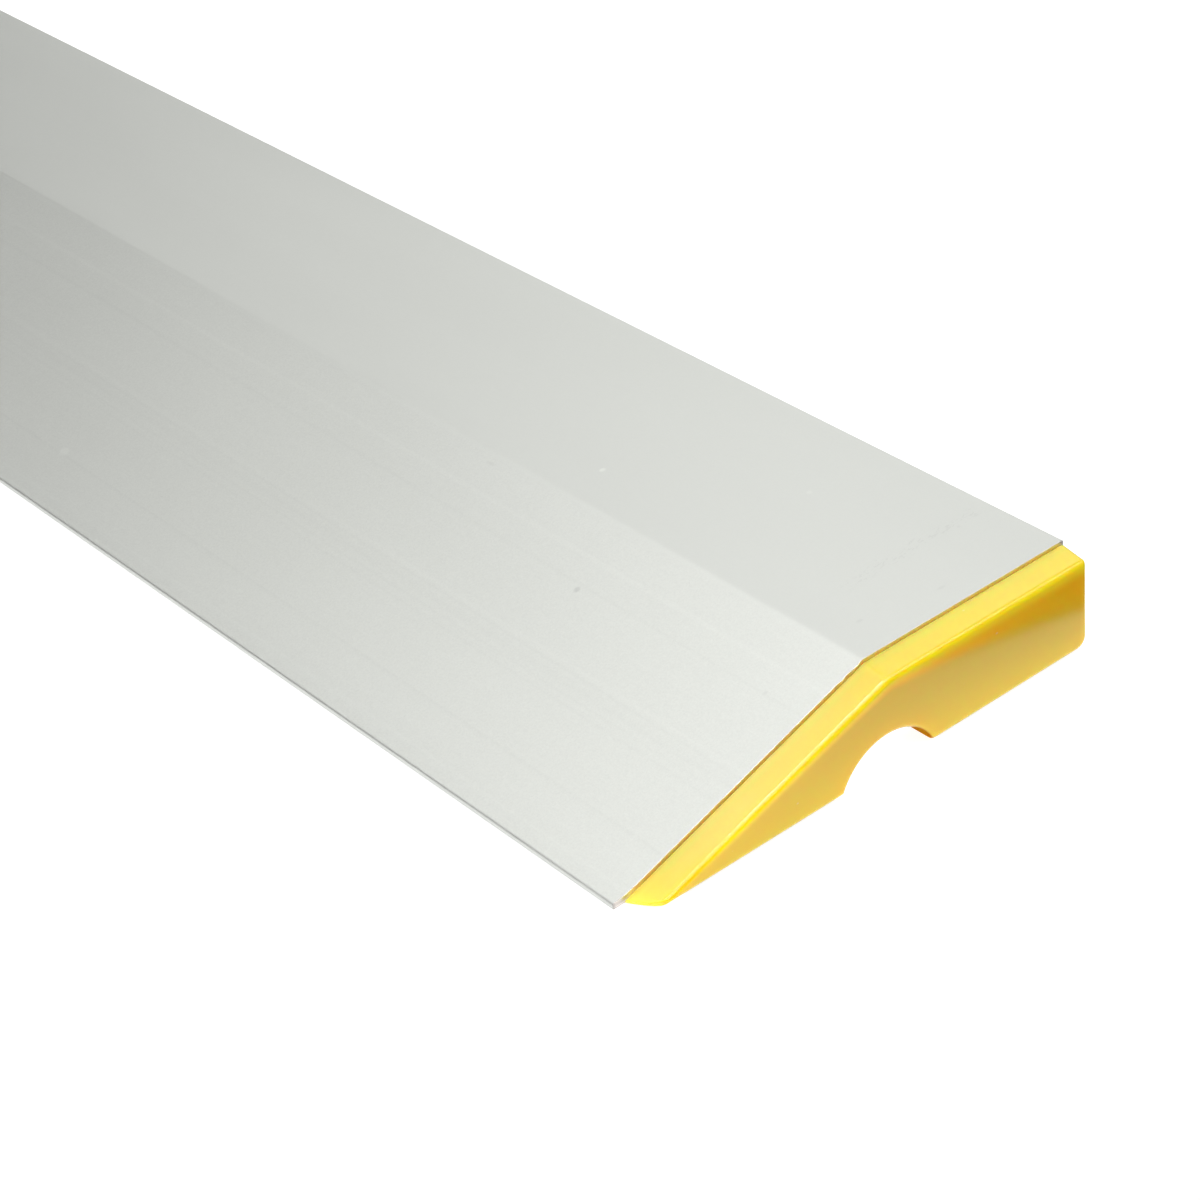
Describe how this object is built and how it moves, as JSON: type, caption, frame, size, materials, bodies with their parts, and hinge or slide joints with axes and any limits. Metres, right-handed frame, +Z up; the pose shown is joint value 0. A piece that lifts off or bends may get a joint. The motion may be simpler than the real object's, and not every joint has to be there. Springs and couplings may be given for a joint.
{
  "type": "feather-edge screed",
  "caption": "Trapezoidal feather-edge screed: a hollow aluminium straightedge with a sloped face, a finger groove underneath and a push-in plastic cap in each end.",
  "frame": {"origin": "centre of the underside of the extrusion, the flat side it rests on", "axes": "+X along the length, towards the right end cap; +Y across, from the feather edge to the spine; +Z up, out of the flat top"},
  "size_m": [1.2116, 0.1, 0.0187],
  "materials": {
    "mill_aluminium": "satin mill finish with fine lines along the extrusion",
    "yellow_plastic": "glossy injection moulding"
  },
  "bodies": {
    "profile": {"screed_profile": "mill_aluminium"},
    "right_cap": {"end_cap_right": "yellow_plastic"},
    "left_cap": {"end_cap_left": "yellow_plastic"}
  },
  "joints": [
    {"name": "right_cap_pull", "type": "slide", "parent": "profile", "child": "right_cap", "axis": [1, 0, 0], "range_m": [0, 0.03]},
    {"name": "left_cap_pull", "type": "slide", "parent": "profile", "child": "left_cap", "axis": [-1, 0, 0], "range_m": [0, 0.03]}
  ]
}
